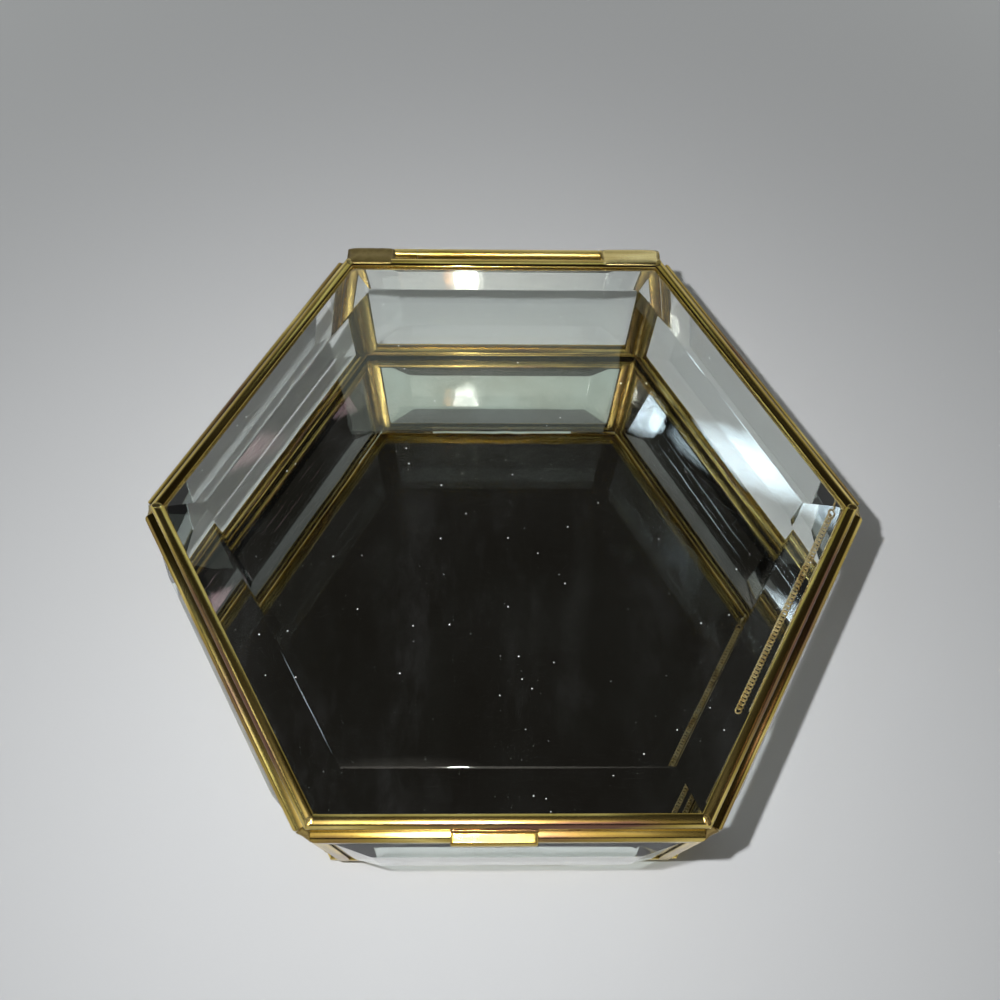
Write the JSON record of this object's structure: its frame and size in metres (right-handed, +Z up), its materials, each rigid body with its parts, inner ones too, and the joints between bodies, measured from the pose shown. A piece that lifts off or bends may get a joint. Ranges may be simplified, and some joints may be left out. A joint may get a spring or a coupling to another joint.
{
  "type": "glass casket",
  "caption": "Hexagonal casket of bevelled glass in soldered brass came, with a mirror base, a hinged glass lid, a pull tab and a stay chain.",
  "frame": {"origin": "middle of the underside, on the face the box stands on", "axes": "+Z up; the hinge is on the +Y side and the pull tab on the -Y side; X runs from corner to corner, along the hinge pin"},
  "size_m": [0.1766, 0.158, 0.0563],
  "materials": {
    "plate_glass": "gloss",
    "mirror_plate": "gloss",
    "mirror_silvering": "gloss",
    "came_brass": "satin",
    "gold_solder": "satin",
    "hinge_brass": "satin",
    "tab_brass": "satin",
    "chain_brass": "gloss"
  },
  "bodies": {
    "box": {"mirror_glass": "mirror_plate", "mirror_backing": "mirror_silvering", "base_rail_back": "came_brass", "base_rail_back_left": "came_brass", "base_rail_front_left": "came_brass", "base_rail_front": "came_brass", "base_rail_front_right": "came_brass", "base_rail_back_right": "came_brass", "wall_pane_back": "plate_glass", "wall_pane_back_left": "plate_glass", "wall_pane_front_left": "plate_glass", "wall_pane_front": "plate_glass", "wall_pane_front_right": "plate_glass", "wall_pane_back_right": "plate_glass", "wall_top_rail_back": "came_brass", "wall_top_rail_back_left": "came_brass", "wall_top_rail_front_left": "came_brass", "wall_top_rail_front": "came_brass", "wall_top_rail_front_right": "came_brass", "wall_top_rail_back_right": "came_brass", "wall_bottom_rail_back": "came_brass", "wall_bottom_rail_back_left": "came_brass", "wall_bottom_rail_front_left": "came_brass", "wall_bottom_rail_front": "came_brass", "wall_bottom_rail_front_right": "came_brass", "wall_bottom_rail_back_right": "came_brass", "wall_left_rail_back": "came_brass", "wall_left_rail_back_left": "came_brass", "wall_left_rail_front_left": "came_brass", "wall_left_rail_front": "came_brass", "wall_left_rail_front_right": "came_brass", "wall_left_rail_back_right": "came_brass", "wall_right_rail_back": "came_brass", "wall_right_rail_back_left": "came_brass", "wall_right_rail_front_left": "came_brass", "wall_right_rail_front": "came_brass", "wall_right_rail_front_right": "came_brass", "wall_right_rail_back_right": "came_brass", "corner_solder": "gold_solder", "hinge_knuckle": "hinge_brass", "hinge_pin": "hinge_brass", "hinge_solder": "gold_solder", "box_chain_eye": "chain_brass"},
    "lid": {"lid_pane": "plate_glass", "lid_rail_back": "came_brass", "lid_rail_back_left": "came_brass", "lid_rail_front_left": "came_brass", "lid_rail_front": "came_brass", "lid_rail_front_right": "came_brass", "lid_rail_back_right": "came_brass", "lid_solder": "gold_solder", "lid_knuckle_left": "hinge_brass", "lid_knuckle_right": "hinge_brass", "pull_tab": "tab_brass", "lid_chain_eye": "chain_brass"},
    "chain_lower": {"chain_lower": "chain_brass"},
    "chain_upper": {"chain_upper": "chain_brass"}
  },
  "joints": [
    {"name": "lid_hinge", "type": "hinge", "parent": "box", "child": "lid", "pos_m": [0, 0.0762, 0.0517], "axis": [-1, 0, 0], "range_deg": [0, 92.46]},
    {"name": "chain_lower_swing", "type": "hinge", "parent": "box", "child": "chain_lower", "pos_m": [0.08204, -0.0013, 0.049], "axis": [-0.7786, 0.4496, -0.4377], "range_deg": [0, 127.18]},
    {"name": "chain_upper_swing", "type": "hinge", "parent": "lid", "child": "chain_upper", "pos_m": [0.07869, -0.0013, 0.049], "axis": [0.7557, -0.4363, -0.4884], "range_deg": [0, 130.25]}
  ],
  "couplings": [
    {"joint": "chain_lower_swing", "follows": "lid_hinge", "ratio": 1.3753},
    {"joint": "chain_upper_swing", "follows": "lid_hinge", "ratio": 1.4084}
  ]
}
